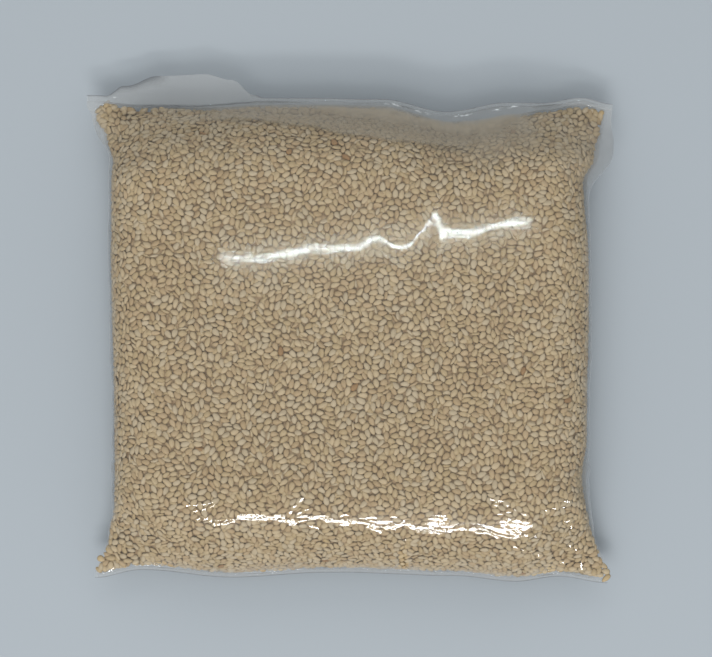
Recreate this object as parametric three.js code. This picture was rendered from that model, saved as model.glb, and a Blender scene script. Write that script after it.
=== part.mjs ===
// Packet of sesame seeds: a clear plastic tube sealed across both ends, filled tight with
// about half a kilogram of hulled seeds and lying flat on its back. Film and seeds are one
// closed solid here. X runs across the packet, Y from its bottom seal to its top seal, Z up.
import * as THREE from 'three';

// Driving dimensions, in millimetres.
const THICKNESS = 33; // table to the crown of the top face
const HALF_WIDTH = 96; // middle to the farthest corner, across
const BOTTOM_END = -88; // mean place of the bottom seal's outer edge
const TOP_END = 83; // mean place of the top seal's outer edge
const SEAL_THICKNESS = 1.2; // the two films pressed together, with their curl
const SEAL_WIDTH = 1.5; // clear strip between the seeds and the seal's outer edge
const CROWN = 3; // how much of the thickness is the slow dome of the top face
const RIM_HEIGHT = 14; // height of the widest line along the sides
const SEAM_HEIGHT = 9; // height of the two end seals above the table
const SIDE_ROUNDING = 18; // reach of the rounded sides, across
const EAR_ROUNDING = 44; // the same across the ends, where the corners are drawn out thin
const EAR_REACH = 30; // how far from a seal the corners stay drawn out
const BOTTOM_END_ROUNDING = 34; // reach of the rounding up from the bottom seal, top face
const TOP_END_ROUNDING = 30; // the same from the top seal, where the film stands off the seeds
const UNDERSIDE_END_ROUNDING = 22; // reach of the rounding of the underside, at both ends
const UNDERSIDE_SIDE_ROUNDING = 15; // reach of the rounding of the underside, along the sides

// Outline seen from above, as stations [position along, position across]. Between two
// stations the line eases smoothly from one to the next.
const TOP_SEAL = [[-96, 85.2], [-76, 83.4], [-56, 83.1], [-30, 84.9], [12, 84.4], [35, 79.8], [57, 83.2],
  [70, 83.1], [84, 84.8], [96, 82.6]];
const BOTTOM_SEAL = [[-93, -89.8], [-76, -87], [-42, -89.7], [-7, -87.8], [38, -89.1], [60, -91.2],
  [77, -89.4], [94, -91.8]];
const LEFT_SIDE = [[-86, 92], [-73, 87.6], [-62, 85.8], [-25, 86], [26, 87.2], [60, 87], [76, 94],
  [80, 95.6]];
const RIGHT_SIDE = [[-86, 93.4], [-68, 88.2], [-56, 86.2], [-28, 86.6], [10, 87.2], [48, 86.4],
  [66, 95.6], [80, 95.4]];
// Loose end of film past the left part of the top seal: its reach beyond the seal.
const FILM_TAIL = [[-96, 1], [-82, 5.5], [-68, 8.5], [-56, 8.5], [-44, 4], [-34, 0]];

// Grid of each face. The outermost columns on each side lie on the rounded sides, and the
// first and last row lie on the outer edges of the two seals.
const FLAT_COLUMNS = 20;
const SIDE_COLUMNS = 8;
const BODY_ROWS = 40;
const BOTTOM_SEAL_ROW = -1;
const TOP_SEAL_ROW = 2;

// Fullness towards an edge: a round side, a slope up from each seal, and a thin corner fin.
const ROUND_SIDE_POWER = 0.5;
const BOTTOM_SLOPE_POWER = 0.7;
const TOP_SLOPE_POWER = 0.9;
const THIN_CORNER_POWER = 1.1;

/** Height of the line through the stations at one place, easing between neighbours. */
function easeThrough(stations, place) {
  const [first, last] = [stations[0], stations[stations.length - 1]];
  if (place <= first[0]) return first[1];
  if (place >= last[0]) return last[1];
  const next = stations.findIndex(([at]) => at > place);
  const [[fromAt, from], [toAt, to]] = [stations[next - 1], stations[next]];
  return THREE.MathUtils.lerp(from, to, THREE.MathUtils.smoothstep(place, fromAt, toAt));
}

/** Rounded rise: 0 at a distance of 0, 1 from the reach onwards; a higher power slopes more. */
function roundRise(distance, reach, power) {
  const short = 1 - THREE.MathUtils.clamp(distance / reach, 0, 1);
  return Math.pow(1 - short * short, power);
}

/** Fullness across, from 1 on the flat to 0 at the rim; thin makes the rim a drawn-out fin. */
function sideFullness(across, halfWidth, reach, thin) {
  const past = THREE.MathUtils.clamp((Math.abs(across) - (halfWidth - reach)) / reach, 0, 1);
  return Math.pow(1 - past * past, THREE.MathUtils.lerp(ROUND_SIDE_POWER, THIN_CORNER_POWER, thin));
}

/** How strongly a place belongs to a drawn-out end: 1 at a seal, 0 past the ears' reach. */
function endShare(distance) {
  return 1 - THREE.MathUtils.smoothstep(distance, 0, EAR_REACH);
}

/** Position across for a column share from -1 at the left rim to 1 at the right rim. */
function acrossAt(share, halfWidth, reach) {
  const flatShare = FLAT_COLUMNS / (FLAT_COLUMNS + 2 * SIDE_COLUMNS);
  const size = Math.abs(share);
  const flat = halfWidth - reach;
  if (size <= flatShare) return Math.sign(share) * flat * (size / flatShare);
  const turn = ((size - flatShare) / (1 - flatShare)) * (Math.PI / 2);
  return Math.sign(share) * (flat + reach * Math.sin(turn));
}

/** The film on the top face and on the underside at one grid place. */
function filmPair(share, along) {
  const bodyShare = THREE.MathUtils.clamp(along, 0, 1);
  const bodyY = THREE.MathUtils.lerp(BOTTOM_END + SEAL_WIDTH, TOP_END - SEAL_WIDTH, bodyShare);
  const toSeal = Math.min(bodyY - BOTTOM_END, TOP_END - bodyY) - SEAL_WIDTH;
  const ending = endShare(toSeal);
  const halfWidth = easeThrough(share < 0 ? LEFT_SIDE : RIGHT_SIDE, bodyY);
  const reach = THREE.MathUtils.lerp(SIDE_ROUNDING, EAR_ROUNDING, ending);
  const x = acrossAt(share, halfWidth, reach);

  const bottomEdge = easeThrough(BOTTOM_SEAL, x);
  const topEdge = easeThrough(TOP_SEAL, x);
  const fromY = bottomEdge + SEAL_WIDTH;
  const toY = topEdge - SEAL_WIDTH;
  let y = THREE.MathUtils.lerp(fromY, toY, along);
  if (along === BOTTOM_SEAL_ROW) y = bottomEdge;
  if (along === TOP_SEAL_ROW) y = topEdge + easeThrough(FILM_TAIL, x);

  const rim = THREE.MathUtils.lerp(RIM_HEIGHT, SEAM_HEIGHT, ending);
  const half = SEAL_THICKNESS / 2;
  const crown = THICKNESS - (CROWN * ((x / HALF_WIDTH) ** 2 + (y / BOTTOM_END) ** 2)) / 2;
  const upperStart = roundRise(y - fromY, BOTTOM_END_ROUNDING, BOTTOM_SLOPE_POWER);
  const upperEnd = roundRise(toY - y, TOP_END_ROUNDING, TOP_SLOPE_POWER);
  const upper = upperStart * upperEnd * sideFullness(x, halfWidth, reach, ending);
  const lowerStart = roundRise(y - fromY, UNDERSIDE_END_ROUNDING, ROUND_SIDE_POWER);
  const lowerEnd = roundRise(toY - y, UNDERSIDE_END_ROUNDING, ROUND_SIDE_POWER);
  const lowerReach = THREE.MathUtils.lerp(UNDERSIDE_SIDE_ROUNDING, EAR_ROUNDING, ending);
  const lower = lowerStart * lowerEnd * sideFullness(x, halfWidth, lowerReach, ending);
  const topHeight = THREE.MathUtils.lerp(rim + half, crown, upper);
  const underHeight = THREE.MathUtils.lerp(rim - half, 0, lower);
  return [new THREE.Vector3(x, y, topHeight), new THREE.Vector3(x, y, underHeight)];
}

/** Row places: the seals' outer edges, and between them the body, packed closer at both ends. */
function rowPlaces() {
  const rowTurn = Math.PI / BODY_ROWS;
  const body = Array.from({ length: BODY_ROWS + 1 }, (_, row) => (1 - Math.cos(row * rowTurn)) / 2);
  return [BOTTOM_SEAL_ROW, ...body, TOP_SEAL_ROW];
}

/** Closed solid: the two faces and the narrow wall that joins them all round the rim. */
function pouchGeometry() {
  const columns = FLAT_COLUMNS + 2 * SIDE_COLUMNS;
  const rows = rowPlaces();
  const position = [];
  for (const along of rows) {
    for (let column = 0; column <= columns; column += 1) {
      for (const point of filmPair((2 * column) / columns - 1, along)) position.push(...point.toArray());
    }
  }
  const upper = (column, row) => 2 * (row * (columns + 1) + column);
  const under = (column, row) => upper(column, row) + 1;
  const index = [];
  const quad = (a, b, c, d) => index.push(a, b, c, a, c, d);
  const lastRow = rows.length - 1;
  for (let row = 0; row < lastRow; row += 1) {
    for (let column = 0; column < columns; column += 1) {
      quad(upper(column, row), upper(column + 1, row), upper(column + 1, row + 1), upper(column, row + 1));
      quad(under(column, row), under(column, row + 1), under(column + 1, row + 1), under(column + 1, row));
    }
    quad(under(0, row), upper(0, row), upper(0, row + 1), under(0, row + 1));
    quad(under(columns, row), under(columns, row + 1), upper(columns, row + 1), upper(columns, row));
  }
  for (let column = 0; column < columns; column += 1) {
    quad(under(column, 0), under(column + 1, 0), upper(column + 1, 0), upper(column, 0));
    const [upperLast, upperNext] = [upper(column, lastRow), upper(column + 1, lastRow)];
    quad(upperLast, upperNext, under(column + 1, lastRow), under(column, lastRow));
  }
  const geometry = new THREE.BufferGeometry();
  geometry.setAttribute('position', new THREE.Float32BufferAttribute(position, 3));
  geometry.setIndex(index);
  geometry.computeVertexNormals();
  return geometry;
}

const seedsUnderFilm = new THREE.MeshStandardMaterial({ color: 0xc9b794, roughness: 0.3, metalness: 0 });
const bag = new THREE.Mesh(pouchGeometry(), seedsUnderFilm);
bag.name = 'bag';

const packet = new THREE.Group();
packet.add(bag);

export default packet;
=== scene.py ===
"""A packet of hulled sesame seeds: a clear film pouch, sealed across both ends, lying flat.

Metres, +Z up. X runs across the packet, Y from its bottom seal to its top seal, and the
table is at Z = 0. The camera looks straight down.
"""
import math

import bmesh
import bpy
import numpy as np
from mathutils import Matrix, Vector
from mathutils.bvhtree import BVHTree


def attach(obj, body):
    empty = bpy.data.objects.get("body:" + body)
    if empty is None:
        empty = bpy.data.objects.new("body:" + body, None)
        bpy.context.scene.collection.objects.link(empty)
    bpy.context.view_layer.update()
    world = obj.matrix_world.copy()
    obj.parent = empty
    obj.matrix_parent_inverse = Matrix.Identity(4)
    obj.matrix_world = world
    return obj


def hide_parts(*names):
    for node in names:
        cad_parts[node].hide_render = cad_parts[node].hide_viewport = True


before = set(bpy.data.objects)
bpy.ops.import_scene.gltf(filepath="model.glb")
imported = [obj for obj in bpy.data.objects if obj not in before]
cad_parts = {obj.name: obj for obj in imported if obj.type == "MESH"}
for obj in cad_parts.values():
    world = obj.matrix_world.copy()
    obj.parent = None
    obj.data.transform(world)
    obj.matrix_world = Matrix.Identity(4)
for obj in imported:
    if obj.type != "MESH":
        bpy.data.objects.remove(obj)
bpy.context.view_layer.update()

mm = 0.001

# --- The core of the heap ----------------------------------------------------------------
# Clear tubing, welded shut across both ends, is filled tight with seeds: they press it into
# a pillow with round sides, drawn-out corners and a flat underside. The seeds deep inside
# show only as tan relief between the outer ones, with painted shade in its gaps, so they
# are one solid core.
thickness = 33 * mm
far_corner = 96 * mm
bottom_end = -88 * mm
top_end = 83 * mm
crown = 3 * mm
rim_height = 14 * mm
seam_height = 9 * mm
seal_width = 1.5 * mm
side_rounding = 18 * mm
ear_rounding = 44 * mm
ear_reach = 30 * mm
bottom_rounding = 34 * mm
top_rounding = 30 * mm
under_rounding = 22 * mm
under_side_rounding = 15 * mm
round_side_power = 0.5
bottom_slope_power = 0.7
top_slope_power = 0.9
thin_corner_power = 1.1
flat_columns = 0.62  # share of a grid's columns that lies on the flat

# Outlines from above, as stations (position along, position across) in millimetres.
top_seal = ((-96, 85.2), (-76, 83.4), (-56, 83.1), (-30, 84.9), (12, 84.4), (35, 79.8),
            (57, 83.2), (70, 83.1), (84, 84.8), (96, 82.6))
bottom_seal = ((-93, -89.8), (-76, -87), (-42, -89.7), (-7, -87.8), (38, -89.1), (60, -91.2),
               (77, -89.4), (94, -91.8))
left_side = ((-86, 92), (-73, 87.6), (-62, 85.8), (-25, 86), (26, 87.2), (60, 87), (76, 94),
             (80, 95.6))
right_side = ((-86, 93.4), (-68, 88.2), (-56, 86.2), (-28, 86.6), (10, 87.2), (48, 86.4),
              (66, 95.6), (80, 95.4))


def smooth(value, low=0.0, high=1.0):
    """Ease from 0 at low to 1 at high."""
    t = np.clip((value - low) / (high - low), 0, 1)
    return t * t * (3 - 2 * t)


def mix(a, b, share):
    """The value that lies a share of the way from a to b."""
    return a + (b - a) * share


def ease_through(stations, place):
    """The line through stations given in millimetres, easing from one to the next."""
    at, value = np.array(stations).T * mm
    k = np.clip(np.searchsorted(at, place, side="right") - 1, 0, len(at) - 2)
    return mix(value[k], value[k + 1], smooth(place, at[k], at[k + 1]))


def round_rise(distance, reach, power):
    """Rounded rise from 0 at a distance of 0 to 1 from the reach onwards."""
    short = 1 - np.clip(distance / reach, 0, 1)
    return (1 - short * short) ** power


def side_fullness(across, half_width, reach, thin):
    """1 on the flat and 0 at the rim, where thin draws the rim out into a fin."""
    past = np.clip((np.abs(across) - (half_width - reach)) / reach, 0, 1)
    return (1 - past * past) ** mix(round_side_power, thin_corner_power, thin)


def half_width_at(x, y, inset):
    """The rim's distance from the middle line, on the side of x."""
    left = ease_through(left_side, y)
    right = ease_through(right_side, y)
    return np.where(x < 0, left, right) - inset


def seal_lines(x, back=0.0, short=None):
    """Where the body starts and ends, a little back from the inner edges of the seals."""
    start = ease_through(bottom_seal, x) + seal_width + back
    end = ease_through(top_seal, x) - seal_width - back
    return start, end - (ease_through(short, x) if short else 0.0)


def body_place(y, start, end):
    """The place along a straight middle line that stands for y, for the side outlines."""
    share = np.clip((y - start) / (end - start), 0, 1)
    return mix(bottom_end + seal_width, top_end - seal_width, share)


def ending_at(body_y):
    """1 next to a seal, 0 past the reach of the drawn-out corners."""
    to_seal = np.minimum(body_y - bottom_end, top_end - body_y) - seal_width
    return 1 - smooth(to_seal, 0, ear_reach)


def skin_height(x, y, upper, inset=0.0, back=0.0, hollow=0.0, short=None):
    """Height of the pouch's skin over (x, y), or of a smaller pillow inside it."""
    start, end = seal_lines(x, back, short)
    body_y = body_place(y, start, end)
    ending = ending_at(body_y)
    half_width = half_width_at(x, body_y, inset + hollow)
    rim = mix(rim_height, seam_height, ending)
    if upper:
        along = round_rise(y - start, bottom_rounding, bottom_slope_power)
        along = along * round_rise(end - y, top_rounding, top_slope_power)
        reach = mix(side_rounding, ear_rounding, ending)
        level = thickness - crown / 2 * ((x / far_corner) ** 2 + (y / bottom_end) ** 2) - inset
    else:
        along = round_rise(y - start, under_rounding, round_side_power)
        along = along * round_rise(end - y, under_rounding, round_side_power)
        reach = mix(under_side_rounding, ear_rounding, ending)
        level = inset
    return mix(rim, level, along * side_fullness(x, half_width, reach, ending))


def turn_out(share, flat_share):
    """Split a share into its part on the flat and its turn round a quarter circle."""
    size = np.abs(share)
    turned = np.sin(np.clip((size - flat_share) / (1 - flat_share), 0, 1) * math.pi / 2)
    return np.sign(share) * np.minimum(size / flat_share, 1), np.sign(share) * turned


def along_share(share, body_length=165 * mm):
    """Share of the straight length for a share of the way over the crown from seal to seal."""
    first, last = bottom_rounding / body_length, top_rounding / body_length
    first_way, last_way = 0.24, 0.22
    up = first * (1 - np.cos(np.clip(share / first_way, 0, 1) * math.pi / 2))
    down = last * (1 - np.cos(np.clip((1 - share) / last_way, 0, 1) * math.pi / 2))
    middle = np.clip((share - first_way) / (1 - first_way - last_way), 0, 1) * (1 - first - last)
    return up + middle + last - down


def skin_place(across, along, upper, inset=0.0, back=0.0, empty=None, short=None):
    """Points of the skin for shares across, -1 to 1, and along, 0 to 1."""
    straight = along_share(along)
    body_y = mix(bottom_end + seal_width, top_end - seal_width, straight)
    ending = ending_at(body_y)
    hollow = empty(across, body_y) if empty else 0.0
    half_width = half_width_at(across, body_y, inset + hollow)
    reach = mix(side_rounding, ear_rounding, ending)
    flat, turned = turn_out(across, flat_columns)
    x = flat * (half_width - reach) + turned * reach
    start, end = seal_lines(x, back, short)
    y = mix(start, end, straight)
    return x, y, skin_height(x, y, upper, inset, back, hollow, short)


# The seeds fill the tube almost to its skin. They leave the corners at the top a little
# empty, and fall away from the film along the top seal, where it is slack.
film_gap = 0.12 * mm
heap_back = 0.3 * mm
slack_line = ((-96, 84), (-80, 77), (-66, 74.5), (-40, 75.5), (-18, 73), (0, 69), (18, 66.5),
              (40, 64.5), (52, 68), (66, 78), (96, 84))
slack_depth = 4.5 * mm
slack_reach = 9 * mm
least_left = 0.35  # share of the height above the rim that the fall always leaves
empty_left = ((-88, 0.0), (-70, 0.3), (-50, 0.9), (-20, 0.8), (30, 0.9), (54, 0.9), (65, 1.3),
              (71, 3.2), (76, 1.4), (79, 3.0), (82, 7.0))
empty_right = ((-88, 0.0), (-75, 0.3), (-62, 1.6), (-50, 2.4), (-38, 1.0), (10, 0.9), (30, 0.7),
               (48, 1.8), (57, 5.5), (66, 6.5), (76, 3.8), (82, 2.6))
empty_top = ((-96, 0.2), (-62, 0.3), (-40, 1.3), (4, 1.3), (24, 1.8), (36, 2.6), (50, 4.2), (60, 3.4),
             (71, 1.4), (84, 1.2), (96, 1.2))


def heap_empty(across, y):
    """How far the seeds stay back from the rim."""
    return np.where(across < 0, ease_through(empty_left, y), ease_through(empty_right, y))


def heap_place(across, along, upper):
    """Points of the heap's outside."""
    x, y, z = skin_place(across, along, upper, film_gap, heap_back, heap_empty, empty_top)
    if upper:
        rim = mix(rim_height, seam_height, ending_at(y))
        fallen = slack_depth * smooth(y - ease_through(slack_line, x), 0, slack_reach)
        z = np.maximum(z - fallen, mix(rim, z, least_left))
    return x, y, z


def grid_sheet(columns, rows, place, bake_half=None):
    """A grid of faces whose vertices are put in place by their shares across and along."""
    sheet = bmesh.new()
    bmesh.ops.create_grid(sheet, x_segments=columns, y_segments=rows, size=1)
    shares = np.array([vert.co for vert in sheet.verts])
    points = np.stack(place(shares[:, 0], (shares[:, 1] + 1) / 2), axis=1)
    bake = sheet.loops.layers.uv.new("OFBake")
    width, offset = (1, 0) if bake_half is None else (0.49, 0.51 * bake_half)
    for face in sheet.faces:
        for loop in face.loops:
            u, v = loop.vert.co.x / 2 + 0.5, loop.vert.co.y / 2 + 0.5
            loop[bake].uv = (u * width + offset, v)
    for vert, point in zip(sheet.verts, points):
        vert.co = point
    return sheet


def closed_pillow(columns, rows, place):
    """Two sheets, the lower one turned over, welded together all round the rim."""
    pillow = grid_sheet(columns, rows, lambda across, along: place(across, along, True), 0)
    under = grid_sheet(columns, rows, lambda across, along: place(across, along, False), 1)
    bmesh.ops.reverse_faces(under, faces=under.faces)
    spare = bpy.data.meshes.new("spare")
    under.to_mesh(spare)
    under.free()
    pillow.from_mesh(spare)
    bpy.data.meshes.remove(spare)
    bmesh.ops.remove_doubles(pillow, verts=pillow.verts, dist=0.02 * mm)
    pillow.normal_update()
    return pillow


def new_piece(name, shape, finish):
    """A piece at the origin that holds a finished bmesh or mesh, shaded smooth."""
    if isinstance(shape, bmesh.types.BMesh):
        mesh = bpy.data.meshes.new(name)
        shape.to_mesh(mesh)
        shape.free()
    else:
        mesh = shape
    mesh.shade_smooth()
    mesh.materials.append(finish)
    piece = bpy.data.objects.new(name, mesh)
    bpy.context.scene.collection.objects.link(piece)
    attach(piece, "root")
    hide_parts("bag")


class Wire:
    """A shader socket that works in sums: each operation on it adds its own node."""

    def __init__(self, finish, socket):
        self.finish = finish
        self.socket = socket

    def math(self, operation, first, second):
        return self.finish.node("Math", {"operation": operation}, {0: first, 1: second})

    def __add__(self, other):
        return self.math("ADD", self, other)

    def __sub__(self, other):
        return self.math("SUBTRACT", self, other)

    def __rsub__(self, other):
        return self.math("SUBTRACT", other, self)

    def __mul__(self, other):
        return self.math("MULTIPLY", self, other)

    def __pow__(self, other):
        return self.math("POWER", self, other)

    __radd__ = __add__
    __rmul__ = __mul__


class Finish:
    """A material whose nodes are made one after another."""

    def __init__(self, name):
        self.material = bpy.data.materials.new(name)
        self.material.use_nodes = True
        self.tree = self.material.node_tree
        self.tree.nodes.clear()

    def node(self, kind, settings, sockets, output=0):
        """A node of any kind: settings first, then a value or a wire for each socket."""
        made = self.tree.nodes.new("ShaderNode" + kind)
        for key, value in settings.items():
            setattr(made, key, value)
        for key, value in sockets.items():
            if isinstance(value, Wire):
                self.tree.links.new(value.socket, made.inputs[key])
            else:
                made.inputs[key].default_value = value
        return Wire(self, made.outputs[output] if made.outputs else None)

    def attribute(self, name):
        """A number that the mesh holds at each vertex."""
        return self.node("Attribute", {"attribute_name": name}, {}, output=2)

    def noise(self, size, detail=2.0, stretch=(1, 1, 1)):
        """Noise with features of one size, in metres, on the object's own coordinates."""
        place = self.node("TexCoord", {}, {}, output=3)
        scaled = self.node("Mapping", {}, {"Vector": place, "Scale": stretch})
        return self.node("TexNoise", {}, {"Vector": scaled, "Scale": 1 / size, "Detail": detail})

    def blend(self, share, first, second):
        """A colour between two colours."""
        return self.node("Mix", {"data_type": "RGBA"}, {0: share, 6: first, 7: second}, output=2)

    def bump(self, height, distance):
        """A normal bent by a height that runs from 0 to 1 over a real distance."""
        return self.node("Bump", {}, {"Strength": 1.0, "Distance": distance, "Height": height})

    def surface(self, shader):
        self.node("OutputMaterial", {}, {"Surface": shader})
        return self.material


def room_at(points):
    """Thickness of the pouch over each point."""
    x, y = points[:, 0], points[:, 1]
    return skin_height(x, y, True) - skin_height(x, y, False)


heap_steps = 190
heap = closed_pillow(heap_steps, heap_steps, heap_place)
heap_tree = BVHTree.FromBMesh(heap)

core_depth = 0.95 * mm
core_share = 0.25  # of the pouch's thickness, where that is less than the depth
core_narrow = 0.984  # where the pouch is thin, so that the core stays under the seeds
core_thin, core_thick = 3 * mm, 7 * mm
core_cell = 2.4 * mm
core_relief = 0.9 * mm
core_shape = heap.copy()
core_room = room_at(np.array([vert.co for vert in core_shape.verts]))
for vert, room in zip(core_shape.verts, core_room):
    vert.co -= vert.normal * min(core_depth, core_share * room)
    narrow = mix(core_narrow, 1, float(smooth(room, core_thin, core_thick)))
    vert.co.x *= narrow
    vert.co.y *= narrow

core_finish = Finish("seeds_core")
place = core_finish.node("TexCoord", {}, {}, output=3)
cells = core_finish.node("TexVoronoi", {}, {"Vector": place, "Scale": 1 / core_cell})
# Painted shade: the core turns dark brown towards the edges of its cells, for the shade in the gaps
# between the deep seeds. The same pattern also bends its normal into relief.
relief_and_gap_shade = 1 - cells
core_colour = core_finish.blend(relief_and_gap_shade, (0.18, 0.11, 0.05, 1), (0.41, 0.30, 0.175, 1))
core_shader = core_finish.node("BsdfPrincipled", {}, {
    "Base Color": core_colour, "Roughness": 0.75, "Normal": core_finish.bump(relief_and_gap_shade, core_relief)})
new_piece("seeds_core", core_shape, core_finish.surface(core_shader))


# --- The seeds ---------------------------------------------------------------------------
# Hulled sesame: flat drops about 3.5 mm long, blunt at one end and drawn to a tip at the
# other. They lie flat on the film where it presses them, some rolled up on their edge.
seed_length, seed_width, seed_height = 3.6 * mm, 2.36 * mm, 1.0 * mm
half_size = np.array([seed_length, seed_width, seed_height]) / 2
size_spread = 0.07
outer_count = 11650
filler_count = 2850
gap_tries = 50000
settle_rounds = 40
settle_pairs_every = 5
pair_reach = 3.7 * mm  # seeds farther apart than this can't touch
gap_reach = 3.0 * mm
gap_spacing = 1.5 * mm
turn_radius = 1.1 * mm
thin_room, level_room = 6 * mm, 2 * mm  # thickness of the pouch where seeds lie flatter, and level
crowded, crowded_thin = 0.9 * mm, 1.6 * mm  # of two seeds nearer than this, one is left out
let_past, most_past = 0.1 * mm, 0.4 * mm  # how far an end may stand out of the heap


def spread_over(shape, count, random):
    """Points spread evenly by area over the triangles of a shape, at equal steps."""
    corners = np.array([[loop.vert.co for loop in face] for face in shape.calc_loop_triangles()])
    a, b, c = corners[:, 0], corners[:, 1], corners[:, 2]
    filled = np.cumsum(np.linalg.norm(np.cross(b - a, c - a), axis=1))
    marks = (np.arange(count) + random.random(count)) / count * filled[-1]
    picked = np.minimum(np.searchsorted(filled, marks), len(filled) - 1)
    u, v = random.random(count), random.random(count)
    u, v = np.where(u + v > 1, 1 - u, u), np.where(u + v > 1, 1 - v, v)
    return a[picked] + u[:, None] * (b - a)[picked] + v[:, None] * (c - a)[picked]


def onto_heap(points):
    """The nearest points of the heap's outside, and its outward directions there."""
    nearest = [heap_tree.find_nearest(Vector(point)) for point in points]
    return np.array([hit[0] for hit in nearest]), np.array([hit[1] for hit in nearest])


def unit(vectors):
    """Vectors of length 1."""
    return vectors / np.linalg.norm(vectors, axis=-1, keepdims=True)


def close_pairs(points, reach):
    """Pairs of points nearer than the reach, found by sorting the points into cubes."""
    cube = np.floor(points / reach).astype(np.int64)
    cube -= cube.min(axis=0) - 1
    width = cube.max(axis=0) + 2
    key = (cube[:, 0] * width[1] + cube[:, 1]) * width[2] + cube[:, 2]
    order = np.argsort(key, kind="stable")
    sorted_key = key[order]
    found = []
    for step in np.ndindex(3, 3, 3):
        dx, dy, dz = np.array(step) - 1
        target = key + (dx * width[1] + dy) * width[2] + dz
        first = np.searchsorted(sorted_key, target, "left")
        count = np.searchsorted(sorted_key, target, "right") - first
        a = np.repeat(np.arange(len(points)), count)
        run = np.arange(count.sum()) - np.repeat(np.cumsum(count) - count, count)
        b = order[np.repeat(first, count) + run]
        a, b = a[a < b], b[a < b]
        near = np.linalg.norm(points[a] - points[b], axis=1) < reach
        found.append(np.stack([a[near], b[near]]))
    return np.concatenate(found, axis=1)


def pooled(index, values, count):
    """Sum of the vectors that share an index."""
    return np.stack([np.bincount(index, values[:, k], count) for k in range(3)], axis=1)


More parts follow.
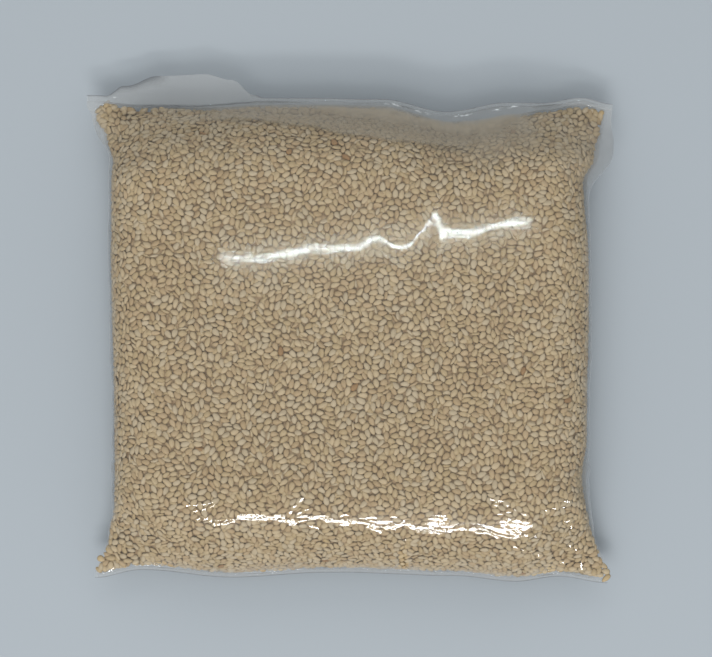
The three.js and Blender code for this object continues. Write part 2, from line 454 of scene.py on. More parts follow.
class Seeds:
    """Seeds on one level of the heap: their sizes, places and directions."""

    def __init__(self, places, depth, rolled, pitched, random):
        count = len(places)
        self.depth = depth
        self.place, self.out = onto_heap(places)
        roomy = smooth(room_at(self.place), 1.5 * mm, thin_room)
        self.size = half_size * (1 + size_spread * random.standard_normal((count, 3)))
        self.roll = random.normal(0, rolled[0], count)
        upright = random.random(count) < rolled[1]
        self.roll[upright] = random.uniform(0.6, 1.5, upright.sum())
        self.roll *= roomy
        self.pitch = random.normal(0, pitched, count) * roomy
        self.lengthwise = random.standard_normal((count, 3))
        self.square_up()

    def square_up(self):
        """Lay the lengthwise directions back into the surface."""
        slope = np.sum(self.lengthwise * self.out, axis=1, keepdims=True)
        self.lengthwise = unit(self.lengthwise - slope * self.out)

    def discs(self, squeeze):
        """Three discs that cover each seed: their radii, and their places along it."""
        length, width, height = self.size.T
        half_wide = squeeze * np.hypot(width * np.cos(self.roll), height * np.sin(self.roll))
        half_long = squeeze * np.hypot(length * np.cos(self.pitch), height * np.sin(self.pitch))
        radius = half_wide[:, None] * np.array([0.88, 0.98, 0.62])
        offset = (half_long[:, None] - radius) * np.array([-1, 0, 1])
        offset[:, 1] = -0.08 * half_long
        return radius, offset

    def settle(self, rounds, squeeze):
        """Push overlapping seeds apart along the surface and turn them to fit."""
        radius, offset = self.discs(squeeze)
        count = len(self.place)
        for turn in range(rounds):
            if turn % settle_pairs_every == 0:
                a, b = close_pairs(self.place, pair_reach)
                same_side = np.sum(self.out[a] * self.out[b], axis=1) > 0.2
                a, b = a[same_side], b[same_side]
            shift = np.zeros((count, 3))
            swing = np.zeros((count, 3))
            touches = np.ones(count)
            for i, j in np.ndindex(3, 3):
                arm_a = offset[a, i, None] * self.lengthwise[a]
                arm_b = offset[b, j, None] * self.lengthwise[b]
                apart = self.place[a] + arm_a - self.place[b] - arm_b
                distance = np.linalg.norm(apart, axis=1) + 1e-9
                overlap = np.maximum(radius[a, i] + radius[b, j] - distance, 0)
                hit = overlap > 0
                push = apart[hit] * (overlap[hit] / distance[hit] / 2)[:, None]
                shift += pooled(a[hit], push, count) - pooled(b[hit], push, count)
                swing += pooled(a[hit], np.cross(arm_a[hit], push), count)
                swing -= pooled(b[hit], np.cross(arm_b[hit], push), count)
                touches += np.bincount(a[hit], minlength=count) + np.bincount(b[hit], minlength=count)
            share = (1.7 / (touches + 1))[:, None]
            self.place, self.out = onto_heap(self.place + share * shift)
            about = np.sum(swing * self.out, axis=1, keepdims=True) * share / turn_radius ** 2
            self.lengthwise = self.lengthwise + about * np.cross(self.out, self.lengthwise)
            self.square_up()

    def open_places(self, tries, wanted):
        """The tried places that lie farthest from every seed, one in each gap."""
        radius, offset = self.discs(1.0)
        count = len(self.place)
        a, b = close_pairs(np.concatenate([self.place, tries]), gap_reach)
        seed_and_try = (a < count) & (b >= count)
        a, b = a[seed_and_try], b[seed_and_try] - count
        clear = np.full(len(tries), 1.0 * mm)
        for i in range(3):
            disc = self.place[a] + offset[a, i, None] * self.lengthwise[a]
            np.minimum.at(clear, b, np.linalg.norm(tries[b] - disc, axis=1) - radius[a, i])
        ranked = tries[np.argsort(-clear)][:wanted * 4]
        gap_seen = np.zeros(len(ranked), bool)
        gap_seen[close_pairs(ranked, gap_spacing).max(axis=0)] = True
        return ranked[~gap_seen][:wanted]

    def lie(self):
        """Each seed's axes and middle: its highest point meets its level, its ends stay inside.

        Seeds that stand out too far or crowd another are marked as not inside.
        """
        thin = 1 - smooth(room_at(self.place), level_room, thin_room)[:, None]
        level = np.sign(self.out[:, 2:]) * np.array([[0, 0, 1]])
        self.out = unit(mix(self.out, level, thin))
        self.square_up()
        side = np.cross(self.out, self.lengthwise)
        roll, pitch = self.roll[:, None], self.pitch[:, None]
        crosswise = np.cos(roll) * side + np.sin(roll) * self.out
        up = np.cos(roll) * self.out - np.sin(roll) * side
        length = np.cos(pitch) * self.lengthwise + np.sin(pitch) * up
        up = np.cos(pitch) * up - np.sin(pitch) * self.lengthwise
        self.axes = np.stack([length, crosswise, up], axis=1)
        rise = np.einsum("nik,nk->ni", self.axes, self.out) * self.size
        proud = np.linalg.norm(rise, axis=1) + self.depth
        self.middle = self.place - self.out * proud[:, None]
        for _ in range(4):
            farthest = np.zeros(len(self.place))
            for axis, way in ((0, -1), (0, 1), (1, -1), (1, 1)):
                ends = self.middle + way * self.axes[:, axis] * self.size[:, axis, None]
                nearest, outward = onto_heap(ends)
                past = ends - nearest
                far = np.linalg.norm(past, axis=1) * (np.sum(past * outward, axis=1) > 0)
                pull = np.clip(far - let_past, 0, None) / (far + 1e-9)
                self.middle -= past * pull[:, None]
                farthest = np.maximum(farthest, far)
        first, second = np.sort(close_pairs(self.place, crowded_thin), axis=0)
        apart = np.linalg.norm(self.place[first] - self.place[second], axis=1)
        least = np.where(room_at(self.place[second]) < thin_room, crowded_thin, crowded)
        self.inside = farthest < most_past
        self.inside[second[apart < least]] = False


def seed_pattern(around, rings, taper, belly, bow):
    """One seed from a ball: flattened, tapered to its tip, and bowed a little."""
    ball = bmesh.new()
    bmesh.ops.create_uvsphere(ball, u_segments=around, v_segments=rings, radius=1)
    bmesh.ops.triangulate(ball, faces=ball.faces)
    for vert in ball.verts:
        x, y, z = vert.co
        narrow = 1 - taper * (x + 0.35) - 0.16 * max(x, 0) ** 3
        deep = (belly if z > 0 else 2 - belly) * (1 - 0.1 * x)
        level = math.copysign(abs(z) ** 0.5, z) if abs(z) > 0.01 else 0
        vert.co = (x, y * narrow + bow * (x * x - 0.4), level * deep)
    corners = np.array([vert.co for vert in ball.verts])
    faces = np.array([[vert.index for vert in face.verts] for face in ball.faces])
    ball.free()
    return corners, faces


def seed_patterns(around, rings):
    """Four slightly different seeds of the same number of faces."""
    shapes = ((0.20, 1.05, 0.04), (0.27, 0.95, -0.05), (0.16, 1.0, 0.0), (0.24, 1.1, 0.07))
    made = [seed_pattern(around, rings, *shape) for shape in shapes]
    return np.array([corners for corners, _ in made]), made[0][1]


def seed_finish(name, light, dark):
    """Matt seed: one tone a seed, faint mottling, and a darker tip."""
    finish = Finish(name)
    mottle = finish.noise(1.1 * mm, 3.0)
    share = finish.attribute("tone") * 0.75 + mottle * 0.45 - 0.1
    colour = finish.blend(share, light, dark)
    colour = finish.blend(finish.attribute("tip") * 0.35, colour, (0.20, 0.125, 0.06, 1))
    rough = finish.noise(0.5 * mm, 2.0)
    shader = finish.node("BsdfPrincipled", {}, {
        "Base Color": colour, "Roughness": 0.55, "Normal": finish.bump(rough, 0.03 * mm)})
    return finish.surface(shader)


def seeds_piece(name, seeds, chosen, patterns, finish, random):
    """One joined mesh of the chosen seeds, with a tone for each seed and its own UV cell."""
    shapes, faces = patterns
    count, corners = len(chosen), shapes.shape[1]
    local = shapes[random.integers(len(shapes), size=count)]
    points = np.einsum("nvk,nkc->nvc", local * seeds.size[chosen, None], seeds.axes[chosen])
    points += seeds.middle[chosen, None]
    mesh = bpy.data.meshes.new(name)
    joined = (faces[None] + (np.arange(count) * corners)[:, None, None]).reshape(-1, 3)
    mesh.from_pydata(points.reshape(-1, 3), [], joined)
    tone = mesh.attributes.new("tone", "FLOAT", "POINT")
    tone.data.foreach_set("value", np.repeat(random.random(count), corners))
    tip = mesh.attributes.new("tip", "FLOAT", "POINT")
    tip.data.foreach_set("value", np.clip(local[:, :, 0] * 3 - 2, 0, 1).ravel())
    cells = math.ceil(math.sqrt(count))
    corner = local[:, faces.ravel()]
    upper = (corner[:, :, 2].reshape(count, -1, 3).mean(axis=2) > 0).repeat(3, axis=1)
    u = corner[:, :, 0] * 0.44 + 0.5
    v = corner[:, :, 1] * 0.21 + np.where(upper, 0.25, 0.75)
    number = np.arange(count)[:, None]
    uv = np.stack([(number % cells + u) / cells, (number // cells + v) / cells], axis=2)
    mesh.uv_layers.new(name="OFBake").data.foreach_set("uv", uv.ravel())
    new_piece(name, mesh, finish)


random = np.random.default_rng(7)
outer = Seeds(spread_over(heap, outer_count, random), 0.0, (0.26, 0.15), 0.15, random)
outer.settle(settle_rounds, 0.95)
gaps = outer.open_places(spread_over(heap, gap_tries, random), filler_count)
filler = Seeds(gaps, 0.25 * mm, (0.35, 0.25), 0.25, random)
filler.lie()
outer.lie()

# Colours of the kinds of seed, from the lighter to the darker tone of each.
seed_kinds = {"seeds_cream": ((0.445, 0.345, 0.21, 1), (0.395, 0.30, 0.17, 1)),
              "seeds_ivory": ((0.43, 0.345, 0.225, 1), (0.38, 0.30, 0.185, 1)),
              "seeds_straw": ((0.415, 0.315, 0.18, 1), (0.35, 0.255, 0.13, 1)),
              "seeds_tan": ((0.395, 0.29, 0.165, 1), (0.335, 0.235, 0.12, 1)),
              "seeds_toasted": ((0.29, 0.17, 0.07, 1), (0.21, 0.115, 0.045, 1))}
common_kinds = 4
toasted_spot = np.array([-25, -8, 33]) * mm
toasted_count = 14
near_full, near_plain, near_small = seed_patterns(10, 4), seed_patterns(10, 3), seed_patterns(8, 3)
from_above = outer.out[:, 2] > -0.25  # those that the camera or a low view can see
kind_of = random.integers(common_kinds, size=outer_count)
kind_of[random.choice(np.flatnonzero(from_above), toasted_count, replace=False)] = common_kinds
kind_of[np.argmin(np.linalg.norm(outer.middle - toasted_spot, axis=1))] = common_kinds
for number, (name, (light, dark)) in enumerate(seed_kinds.items()):
    chosen = np.flatnonzero((kind_of == number) & from_above & outer.inside)
    seeds_piece(name, outer, chosen, near_full, seed_finish(name, light, dark), random)
light, dark = seed_kinds["seeds_ivory"]
below = np.flatnonzero(~from_above & outer.inside)
for half, name in enumerate(("seeds_below_left", "seeds_below_right")):
    chosen = below[(outer.middle[below, 0] > 0) == bool(half)]
    seeds_piece(name, outer, chosen, near_small, seed_finish(name, light, dark), random)
light, dark = seed_kinds["seeds_straw"]
chosen = np.flatnonzero(filler.inside)
seeds_piece("seeds_between", filler, chosen, near_plain, seed_finish("seeds_between", light, dark), random)


# --- The film ----------------------------------------------------------------------------
# Thin glossy film, clear where it lies on the seeds and milky where it stands off them.
# It is drawn smooth over the top, and gathers along the sides, the seals and the corners.
film_tail = ((-96, 0.6), (-89, 0.8), (-82, 5.5), (-70, 9.6), (-53, 10.3), (-43, 7.4), (-35, 1.2),
             (-31, 0))
film_half = 0.05 * mm
seal_rows = 0.02
fine_rows, fine_along = 0.40, 0.23  # rows are closer on the slope above the bottom seal


def film_place(across, along, upper):
    """Points of the film from the outer edge of one seal to that of the other."""
    inside = np.clip((along - seal_rows) / (1 - 2 * seal_rows), 0, 1)
    x, y, z = skin_place(across, inside, upper)
    first = np.clip((seal_rows - along) / seal_rows, 0, 1)
    last = np.clip((along - 1 + seal_rows) / seal_rows, 0, 1)
    tail = np.clip(ease_through(film_tail, x), 0, None)
    y = y - first * seal_width + last * seal_width + last ** 2 * tail
    return x, y, z + (film_half if upper else -film_half)


def curve_through(stations, place):
    """A smooth curve through stations in millimetres, by slopes taken from neighbours."""
    at, value = np.array(stations).T * mm
    slope = np.gradient(value, at)
    k = np.clip(np.searchsorted(at, place, side="right") - 1, 0, len(at) - 2)
    wide = at[k + 1] - at[k]
    t = np.clip((place - at[k]) / wide, 0, 1)
    held = (2 * t ** 3 - 3 * t ** 2 + 1) * value[k] + (3 * t ** 2 - 2 * t ** 3) * value[k + 1]
    return held + wide * ((t ** 3 - 2 * t ** 2 + t) * slope[k] + (t ** 3 - t ** 2) * slope[k + 1])


def waves(x, y, length, random, turn=0.0, stretch=1.0, count=28):
    """Random waves of about one length and of height 1, longer along one direction."""
    total = np.zeros_like(x)
    along, aside = x * np.cos(turn) + y * np.sin(turn), y * np.cos(turn) - x * np.sin(turn)
    for _ in range(count):
        angle = random.uniform(0, 2 * math.pi)
        size = 2 * math.pi / (length * random.uniform(0.7, 1.4))
        phase = random.uniform(0, 2 * math.pi)
        total += np.cos(size * (along / stretch * np.cos(angle) + aside * np.sin(angle)) + phase)
    return total * math.sqrt(2 / count)


def ridge(x, y, path, width, height):
    """A soft ridge along a path of points in millimetres, low at both ends."""
    points = np.array(path) * mm
    nearest = np.full_like(x, 1.0)
    share = np.zeros_like(x)
    for k in range(len(points) - 1):
        start, leg = points[k], points[k + 1] - points[k]
        t = np.clip(((x - start[0]) * leg[0] + (y - start[1]) * leg[1]) / (leg @ leg), 0, 1)
        away = np.hypot(x - start[0] - t * leg[0], y - start[1] - t * leg[1])
        share = np.where(away < nearest, (k + t) / (len(points) - 1), share)
        nearest = np.minimum(away, nearest)
    ends = np.clip(4 * share * (1 - share) * 2, 0, 1)
    return height * np.exp(-(nearest / width) ** 2) * ends


def window(value, rise, fall):
    """1 between two eased edges, each given by its ends in millimetres."""
    return smooth(value, rise[0] * mm, rise[1] * mm) * smooth(-value, -fall[1] * mm, -fall[0] * mm)


def bent_at(from_line, tip, bend, tip_reach, bend_reach):
    """Relief that adds a slope, and a bend in radians a metre, on a line and fades beside it."""
    tipped = tip * from_line * np.exp(-(from_line / tip_reach) ** 2)
    return tipped - bend / 2 * from_line ** 2 * np.exp(-(from_line / bend_reach) ** 2)


# Where the film's top mirrors the long lamp above it: one line, tipped out of its straight
# course by a fold. It is thin where the film is bent, by the second number of each pair.
shine_line = ((-58, 23), (-45, 26), (-40.6, 25.2), (-34.5, 26), (-30.5, 25.4), (-26.5, 26.3),
              (-22.5, 27.1), (-18.5, 27.7), (-15.7, 28.5), (-13.3, 29.5), (-10.5, 29), (-6.4, 28.6),
              (-2.4, 29.1), (1.6, 28.5), (4.8, 30.1), (7.6, 32.3), (9.6, 33.1), (12.3, 31.8),
              (14.8, 29.9), (17.9, 28.8), (20.4, 29.6), (22.8, 32.1), (25.6, 35.7), (28.4, 39.2),
              (30.2, 42), (31.6, 42), (33.2, 37.8), (35.2, 35.2), (38, 34.9), (40.5, 34.1),
              (42.9, 34.5), (45.7, 35.3), (47.7, 36.4), (50.5, 37.2), (53.7, 37.8), (56.5, 38.5),
              (59.7, 38.8), (62.9, 38.7), (72, 39.5))
shine_bend = ((-48, 0.4), (-38, 0.2), (-30, 0.5), (-18, 0.3), (-10, 1), (4, 0.8), (8, 0.5), (11, 1.5),
              (14, 2.6), (24, 2.6), (27, 1.2), (31, 0.8), (36, 0.3), (44, 0.3), (50, 1.5), (56, 0.7),
              (62, 0.8), (66, 2))
plain_line_height, plain_line_slope = 29.2 * mm, 0.11
shine_tip = 1.24  # slope in radians for each metre that the shine is to move


def top_relief(x, y):
    """Relief of the film's top in metres: a few hundredths of a millimetre."""
    to_shine = curve_through(shine_line, x)
    tip = shine_tip * (to_shine - plain_line_height - plain_line_slope * x)
    field = bent_at(y - to_shine, tip, ease_through(shine_bend, x) / mm, 20 * mm, 4 * mm)
    return field * window(x, (-62, -52), (72, 80))


# The same on the slope above the bottom seal, where it is bent sharply between the facets.
low_line = ((-60, -66), (-41.2, -67), (-39.1, -65.8), (-31, -65.6), (-22.8, -66.3), (-18.6, -67),
            (-11.2, -66), (-5, -66.6), (-1.7, -67.4), (3.6, -67.5), (9.3, -69), (14.9, -69),
            (19.5, -68.4), (24.8, -69.6), (29, -70.4), (33.2, -70.8), (38.9, -69.8), (45.9, -69.9),
            (53, -72.4), (70, -73))
low_bend = ((-46, 150), (-42, 60), (-40, 0), (-20, 0), (-18, 150), (-14, 150), (-12, 60), (-5, 60),
            (-3, 20), (2, 20), (4, 110), (14, 90), (20, 60), (24, 20), (34, 20), (38, 80), (44, 60),
            (51, 150))
low_line_from_seal = 20.6 * mm
low_curve = 33.0  # how fast the slope grows there, in radians a metre


def low_relief(x, y):
    """Relief of the slope above the bottom seal."""
    start, _ = seal_lines(x)
    to_shine = curve_through(low_line, x)
    tip = low_curve * (to_shine - start - low_line_from_seal)
    field = bent_at(y - to_shine, tip, ease_through(low_bend, x) / mm, 6 * mm, 1.2 * mm)
    return field * window(x, (-66, -56), (56, 66))


# Slow folds of the front face: path, half width and height in millimetres.
film_creases = (
    (((-88, -84), (-80, -78), (-72, -70)), 2.4, 0.25),
    (((-90, 78), (-82, 70), (-76, 60)), 2.4, 0.25),
    (((88, 76), (80, 66), (74, 54)), 2.6, 0.30))

# Painted highlights along the top seal, white glints painted into the film's milk: path and half width in
# millimetres.
painted_seal_glints = (
    (((-87.5, 85), (-82.1, 84.8), (-76.6, 84.6)), 0.25),
    (((12.2, 82.6), (15, 82.9), (18.9, 81.8)), 0.42),
    (((23.2, 80.6), (26, 79.6), (29.6, 78.3)), 0.38),
    (((36.7, 78), (41, 78.2), (45.1, 78.9)), 0.36),
    (((51.4, 79.8), (56.4, 81.2), (62.1, 81.9)), 0.45))

# Small flat facets in rows, where the film is crumpled so that it mirrors the front lamp:
# half width, then x and y of each point of the path, in millimetres.
glints = (
    (0.55, -58.1, -61.4, -49.9, -60.8, -46.9, -59.6), (0.55, -55.6, -63.6, -49.6, -62.3, -46.7, -60.7),
    (0.5, -54.3, -66.2, -49.3, -66.2, -48.3, -67.7, -46.9, -68),
    (0.5, -46.9, -67.7, -45.2, -68, -43, -66.3), (0.8, -42, -67.3, -40.1, -65.8),
    (1.55, -39.4, -65.6, -31, -65.4, -27.1, -65.8), (0.8, -26.4, -65.2, -23.2, -64.8),
    (1.35, -25, -66.3, -21.8, -67.1, -18.7, -67.7),
    (0.6, -21.3, -65, -20.2, -62.3, -18, -60.5, -15.8, -58),
    (0.55, -18.5, -64.5, -16.3, -63.2, -13.8, -62.3), (0.8, -14.5, -65.8, -12.6, -65.4, -7.8, -65.1),
    (0.6, -14.3, -68.4, -10.9, -70), (0.6, -8.8, -67.1, -3.5, -66.8),
    (0.5, -3.1, -65.6, -1.7, -64.1, -0.3, -65.2), (1.3, -3.5, -67.9, 0.1, -68),
    (0.6, 0.1, -67.5, 5, -67.4), (0.5, 6.4, -66.3, 7.8, -65, 9.3, -66.3),
    (0.9, 6.1, -68.2, 8.9, -70.7, 11.8, -71.1), (0.9, 11.8, -69.4, 16.7, -69.5),
    (0.5, 14.2, -65.6, 15.4, -65, 16.5, -66), (0.5, 16, -67.3, 16.9, -69.7, 19.2, -66.3),
    (0.6, 19.9, -67.1, 21, -69.1, 22.4, -69.9), (1.35, 23.1, -69.9, 27.7, -70.3, 33, -71.1),
    (0.5, 18.6, -74.2, 20.7, -73.7), (0.8, 34.1, -70.6, 36.5, -70.6, 38, -69.7),
    (0.75, 38, -69.7, 41.6, -69.9, 47.6, -70.1), (0.55, 44.2, -71.2, 48.1, -71.1, 53.4, -73.5),
    (0.7, 48.2, -58.9, 54.5, -59.9), (0.8, 50.9, -60.4, 51.6, -62.2),
    (0.55, 54.1, -60.6, 56.8, -62, 59.6, -63.7, 63.3, -65.4), (0.5, 51.5, -64.6, 56.9, -63.3),
    (0.75, 54.8, -65.6, 57.1, -66.8, 60.7, -67.3, 63, -67.3), (0.6, 57.2, -69.9, 62.2, -69.9),
    (0.65, 58.7, -70.6, 63.3, -72.8), (0.9, 65.4, -70.9, 66.1, -73.8),
    (0.6, 57.1, -75.2, 60.3, -77.9, 62.1, -77.7), (0.65, 63.5, -77.2, 65.9, -79.6, 68.7, -80.6),
    (0.6, 70.8, -77.7, 71.1, -79.6), (0.6, 72.8, -58.9, 74.6, -59.9, 78.3, -60.4),
    (0.55, 68.1, -63.5, 70.3, -62.5, 77, -62), (0.65, 75.2, -67.7, 78.8, -67.3),
    (0.8, 78.6, -68.2, 79.1, -71.3), (0.65, 78, -76.7, 82.3, -79.4),
    (0.65, 75.7, -83.3, 78, -83.6, 79.3, -81.8), (0.5, -36.3, -57.2, -30.7, -55.5),
    (0.4, 68.5, -2.4, 76.6, -1.7), (0.4, 68.5, -4.7, 75.9, -4.2),
    (0.5, 70.3, -42.1, 75.6, -43.9, 80.1, -45.6), (0.5, 72.4, -46.7, 79.8, -48.4))
facet_length = 2.8 * mm
facet_width = 1.2 * mm  # for each millimetre of a row's half width
facet_overlap = 1.2
facet_flatness = 4  # a higher power makes a flatter facet with a sharper edge
facet_search = 5 * mm
facet_wobble = 0.005  # radians
plain_half_width, more_to_broken = 0.55, 0.45  # narrow facets stay plain, wide ones break up
eye = np.array([2.2, 0.9, 620]) * mm
front_lamp = np.array([0.04, -1.13, 1.0])
front_lamp_half = 0.25
lamp_spread = 2.3  # how far along the lamp a place looks, for its distance from the middle


def mirror_slopes(place):
    """Slopes along X and Y at which a place on the film shows the front lamp to the camera."""
    seen = place[0] + lamp_spread * (place[0] - eye[0])
    seen = np.clip(seen, front_lamp[0] - front_lamp_half, front_lamp[0] + front_lamp_half)
    normal = unit(eye - place) + unit(np.array([seen, front_lamp[1], front_lamp[2]]) - place)
    return -normal[:2] / normal[2]


def crumple(points):
    """Press rows of small facets into the points of the front face, and tell where they break up."""
    random = np.random.default_rng(11)
    broken = np.zeros(len(points))
    for half_width, *path in glints:
        stations = np.array(path).reshape(-1, 2) * mm
        breaking = min(max((half_width - plain_half_width) / more_to_broken, 0), 1)
        for start, leg in zip(stations, np.diff(stations, axis=0)):
            count = max(1, round(np.linalg.norm(leg) / facet_length))
            half_length = np.linalg.norm(leg) / count / 2
            way = unit(leg)
            for k in range(count):
                centre = start + leg * (k + 0.5) / count
                apart = points[:, :2] - centre
                near = np.flatnonzero(np.abs(apart).max(axis=1) < facet_search)
                apart = apart[near]
                middle = np.argmin(np.linalg.norm(apart, axis=1))
                level = points[near[middle], 2]
                slopes = mirror_slopes(np.array([*centre, level]))
                slopes += random.normal(0, facet_wobble, 2)
                plane = level + (apart - apart[middle]) @ slopes
                along = apart @ way / (facet_overlap * half_length)
                aside = (apart[:, 0] * way[1] - apart[:, 1] * way[0]) / (facet_width * half_width)
                share = np.exp(-(along ** 2 + aside ** 2) ** facet_flatness)
                points[near, 2] = mix(points[near, 2], plane, share)
                broken[near] = np.maximum(broken[near], share * breaking)
    return broken


gather_length, gather_height = 9 * mm, 0.12  # heights here are in millimetres
slow_length, slow_height = 30 * mm, 0.15
pleat_spacing, pleat_stretch, pleat_height = 7 * mm, 5.0, 0.35
seal_wave_length, seal_wave_height = 24 * mm, 0.5


def film_relief(x, y, across, upper):
    """How far the film stands off its plain skin, in metres."""
    random = np.random.default_rng(5)
    from_rim = 1 - np.abs(across)
    start, end = seal_lines(x)
    to_seal = np.minimum(y - start, end - y)
    gather = waves(x * 0, y, gather_length, random)
    slow = waves(x * 0, y, slow_length, random)
    sides = (gather_height * gather + slow_height * slow) * mm * smooth(-from_rim, -0.22, -0.02)
    pleats = waves(x, y, pleat_spacing, random, math.pi / 2, pleat_stretch)
    uneven = smooth(waves(x, y, 40 * mm, random), -1, 1.5)
    near_seal = smooth(to_seal, 0, 3 * mm) * (1 - smooth(to_seal, 5 * mm, 22 * mm))
    field = sides + pleat_height * mm * pleats * uneven * near_seal
    seal_wave = waves(x, y * 0, seal_wave_length, random) * (1 - smooth(to_seal, -1 * mm, 6 * mm))
    field += (seal_wave_height if upper else -seal_wave_height) * mm * seal_wave
    if upper:
        field += top_relief(x, y) + low_relief(x, y)
        for path, width, height in film_creases:
            field += ridge(x, y, path, width * mm, height * mm)
    return field


# Share of milk in the film: where it stands far off the seeds, in the clear strip along the
# top seal, in the slack part that drapes over the fallen seeds, past the seeds' sides, and in
# the seals and the loose end. The corner at the top right is clearer.
far_veil, far_gaps = 0.62, (1.0 * mm, 4.2 * mm)
strip_veil, drape_veil, side_veil, seal_veil = 0.45, 0.42, 0.34, 0.26
ear_clearing = 0.72


def film_milk(x, y, along, gap):
    """The share of milk at each point, and the share that has no seeds under it."""
    in_seal = smooth(np.abs(along - 0.5), 0.5 - seal_rows - 0.004, 0.5 - seal_rows)
    heap_start, heap_end = seal_lines(x, heap_back, empty_top)
    in_strip = smooth(y - heap_end, -0.4 * mm, 0.8 * mm)
    heap_y = body_place(y, heap_start, heap_end)
    heap_rim = half_width_at(x, heap_y, film_gap + heap_empty(x, heap_y))
    beside = smooth(np.abs(x) - heap_rim, -0.4 * mm, 0.6 * mm)
    ear = smooth(x, 62 * mm, 74 * mm) * smooth(y, 44 * mm, 56 * mm)
    draped = window(x, (-60, -44), (44, 66))
    draped = drape_veil * draped * smooth(y - ease_through(slack_line, x), -0.3 * mm, 1.5 * mm)
    milk = mix(far_veil * smooth(gap, *far_gaps), strip_veil, in_strip)
    milk = milk * (1 - ear_clearing * ear * (1 - in_strip))
    milk = np.maximum(milk, draped)
    milk = mix(milk, side_veil, beside * (1 - in_strip))
    milk = mix(milk, seal_veil, in_seal)
    return milk, np.maximum(np.maximum(in_seal, in_strip), beside)


def film_edge_shade(x, along):
    """1 on the painted dark lines of shade: the outer edges, and the weld where the loose end goes on past
    it.
    """
    tail_here = smooth(ease_through(film_tail, x), 0.5 * mm, 2 * mm)
    outer = smooth(along, 0.996, 1.0) * (1 - tail_here * smooth(x, -72 * mm, -64 * mm))
    seam = np.exp(-((along - 1 + seal_rows) / 0.002) ** 2) * tail_here
    return np.maximum(np.maximum(outer, seam), smooth(-along, -0.004, 0.0))


def spot(x, y, centre, stretch, radius):
    """1 at a centre given in millimetres, falling to 0 round it."""
    away = np.hypot(x - centre[0] * mm, (y - centre[1] * mm) * stretch)
    return np.exp(-away ** 2 / (radius * mm) ** 2)


def film_ruffle(x, y, broken):
    """How strongly the film's fine ripple shows: most on broken facets, least by the calm fold."""
    low = smooth(-y, 52 * mm, 62 * mm) * (1 - smooth(-y, 74 * mm, 82 * mm))
    curls = spot(x, y, (-42, 24), 1.5, 7)
    calm = spot(x, y, (18, 31), 1.2, 9)
    return 0.3 * low + 1.8 * broken + 0.25 * curls - 0.06 * calm


def film_sheet(columns, rows, upper):
    """One face of the film with its relief, its milk and what else its finish varies by."""
    kept = {}

    def place(across, along):
        if upper:
            fine = np.clip(along / fine_rows, 0, 1) * fine_along
            along = fine + np.clip((along - fine_rows) / (1 - fine_rows), 0, 1) * (1 - fine_along)
        kept["shares"] = across, along
        return film_place(across, along, upper)

    sheet = grid_sheet(columns, rows, place)
    if not upper:
        bmesh.ops.reverse_faces(sheet, faces=sheet.faces)
    sheet.normal_update()
    across, along = kept["shares"]
    points = np.array([vert.co for vert in sheet.verts])
    normals = np.array([vert.normal for vert in sheet.verts])
    rim_share = smooth(np.abs(across), 0.9, 1.0)[:, None]
    outward = np.stack([np.sign(across), across * 0, across * 0], axis=1)
    normals = unit(mix(normals, outward, rim_share))
    field = film_relief(points[:, 0], points[:, 1], across, upper)
    points = points + normals * field[:, None]
    nearest, _ = onto_heap(points)
    gap = np.linalg.norm(points - nearest, axis=1)
    broken = crumple(points) if upper else 0.0
    for vert, point in zip(sheet.verts, points):
        vert.co = point
    x, y = points[:, 0], points[:, 1]
    milk, open_film = film_milk(x, y, along, gap)
    # Painted highlights: where white glints are painted along the top seal.
    painted_glints = np.zeros(len(points))
    for path, width in painted_seal_glints if upper else ():
        painted_glints = np.maximum(painted_glints, ridge(x, y, path, width * mm, 1.0))
    varied = {"veil": milk, "edge": film_edge_shade(x, along), "ruffle": film_ruffle(x, y, broken),
              "strip": open_film, "painted_glint": painted_glints}
    for name, values in varied.items():
        layer = sheet.verts.layers.float.new(name)
        for vert, value in zip(sheet.verts, values):
            vert[layer] = value
    return sheet


ripple_depth = 0.0042 * mm
ruffle_gain = 12
smooth_gloss, soft_gloss, hazy_gloss = 0.035, 0.08, 0.28  # roughness of the gloss's three parts
soft_share, hazy_share = 0.45, 0.12
head_on, grazing, gloss_gain = 0.04, 0.96, 1.4  # mirrored shares of a clear plastic, two faces
milk_over_seeds, milk_alone = (0.385, 0.335, 0.258, 1), (0.40, 0.412, 0.41, 1)
# Painted shade: the dark line painted along the film's outer edges and the weld, and how much of it shows.
edge_shade_tone, edge_shade_share = (0.12, 0.13, 0.14, 1), 0.45
# Painted highlight: the white of the glints painted along the top seal, and how much of the film it
# covers.
painted_glint_tone, painted_glint_share = (0.95, 0.98, 0.98, 1), 0.5

film_finish = Finish("clear_film")
dimples = film_finish.noise(1.8 * mm, 1.0)
strands = film_finish.noise(1.1 * mm, 1.0, (0.16, 1, 0.16))
ripple_height = (dimples * 0.3 + strands * 0.7) * (1 + film_finish.attribute("ruffle") * ruffle_gain)
ripple = film_finish.bump(ripple_height, ripple_depth)
clear = film_finish.node("BsdfTransparent", {}, {"Color": (0.985, 0.985, 0.985, 1)})
lobes = [film_finish.node("BsdfPrincipled", {}, {
    "Metallic": 1.0, "Base Color": (1, 1, 1, 1), "Roughness": rough, "Normal": ripple})
    for rough in (smooth_gloss, soft_gloss, hazy_gloss)]
gloss = film_finish.node("MixShader", {}, {0: soft_share, 1: lobes[0], 2: lobes[1]})
gloss = film_finish.node("MixShader", {}, {0: hazy_share, 1: gloss, 2: lobes[2]})
slant = film_finish.node("LayerWeight", {}, {"Blend": 0.5}, output=1)
mirrored = (slant ** 5 * grazing + head_on) * gloss_gain
glazed = film_finish.node("MixShader", {}, {0: mirrored, 1: clear, 2: gloss})
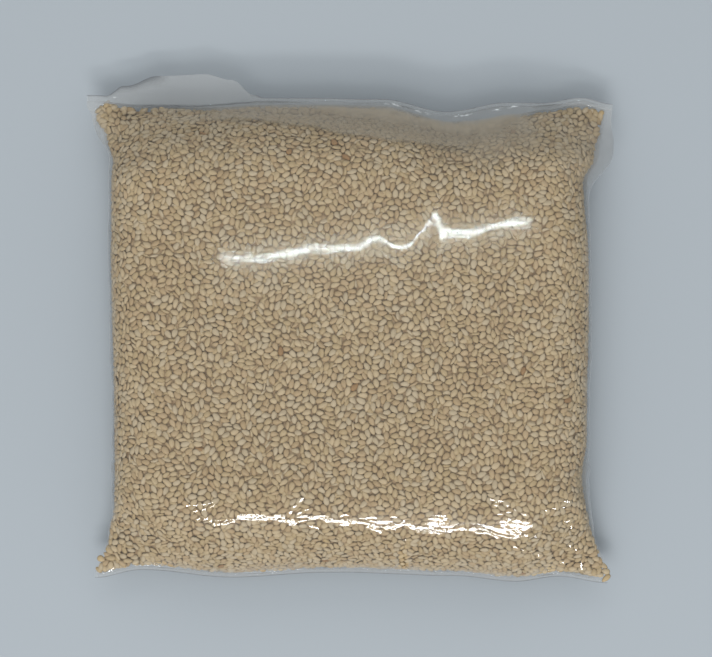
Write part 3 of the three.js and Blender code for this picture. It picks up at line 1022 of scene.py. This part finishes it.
# Painted shade: where the dark line is painted along the film's edges and weld.
edge_shade_line = film_finish.attribute("edge")
milk_colour = film_finish.blend(film_finish.attribute("strip"), milk_over_seeds, milk_alone)
milk_colour = film_finish.blend(edge_shade_line, milk_colour, edge_shade_tone)
# Painted highlight: broken white dashes along the top seal that stand in for glints.
painted_glint_spots = film_finish.noise(1.3 * mm, 2.0, (0.6, 1, 1)) * 5 - 2.2
painted_glint_mask = film_finish.node("Math", {"operation": "MULTIPLY", "use_clamp": True},
                              {0: film_finish.attribute("painted_glint"), 1: painted_glint_spots})
milk_colour = film_finish.blend(painted_glint_mask, milk_colour, painted_glint_tone)
milk = film_finish.node("BsdfPrincipled", {}, {"Base Color": milk_colour, "Roughness": 0.4})
veiled = film_finish.attribute("veil") + edge_shade_line * edge_shade_share + painted_glint_mask * painted_glint_share
film_shader = film_finish.node("MixShader", {}, {0: veiled, 1: glazed, 2: milk})
film_material = film_finish.surface(film_shader)
front_grid, back_grid = (500, 520), (170, 200)
new_piece("film_front", film_sheet(*front_grid, True), film_material)
new_piece("film_back", film_sheet(*back_grid, False), film_material)


# --- Table, light and camera -------------------------------------------------------------
# A pale bluish board, two long lamps that show as the two bright bands, and soft fill that
# the film doesn't mirror. The camera looks straight down from the photograph's place.
table_size = 8
under_packet = 0.2 * mm
board_colour = (0.340, 0.371, 0.397, 1)
bpy.ops.mesh.primitive_plane_add(size=table_size, location=(0, 0, -under_packet))
table = bpy.context.object
table.name = "table"
table_finish = Finish("pale_board")
board = table_finish.node("BsdfPrincipled", {}, {"Base Color": board_colour, "Roughness": 0.6})
table.data.materials.append(table_finish.surface(board))


def lamp(name, place, long, wide, watts, tilt, turn):
    """A long flat lamp, tilted up from facing down and then turned about the vertical."""
    light = bpy.data.lights.new(name, "AREA")
    light.shape = "RECTANGLE"
    light.size = long
    light.size_y = wide
    light.energy = watts
    holder = bpy.data.objects.new(name, light)
    holder.location = place
    holder.rotation_euler = (math.radians(tilt), 0, math.radians(turn))
    bpy.context.scene.collection.objects.link(holder)
    return holder


tube_over = lamp("tube_over", (0.0265, 0.1012, 1.0), 0.361, 0.004, 0.26, 0, 6.5)
tube_over.data.color = (0.78, 0.95, 1.0)
lamp("tube_front", front_lamp, 0.57, 0.10, 5.5, 47, 0)
soft_lamps = (lamp("soft_front", (-0.5, -1.85, 2.1), 2.0, 1.3, 42.0, 42, -15),
              lamp("soft_back", (0.0, 1.7, 1.2), 2.0, 1.0, 10.0, -55, 0))
for soft in soft_lamps:
    soft.visible_glossy = False
world = bpy.data.worlds.new("soft_room")
world.use_nodes = True
room_light = world.node_tree.nodes["Background"].inputs
room_light["Color"].default_value = (0.93, 0.97, 1.0, 1)
room_light["Strength"].default_value = 0.64
bpy.context.scene.world = world
bpy.context.scene.view_settings.view_transform = "Standard"

photo_width = 712
pixel = 0.361 * mm
camera = bpy.data.cameras.new("camera")
camera.sensor_width = 36
camera.lens = camera.sensor_width * (eye[2] - rim_height) / (photo_width * pixel)
camera.clip_start, camera.clip_end = 0.01, 10
viewer = bpy.data.objects.new("camera", camera)
viewer.location = eye
bpy.context.scene.collection.objects.link(viewer)
bpy.context.scene.camera = viewer
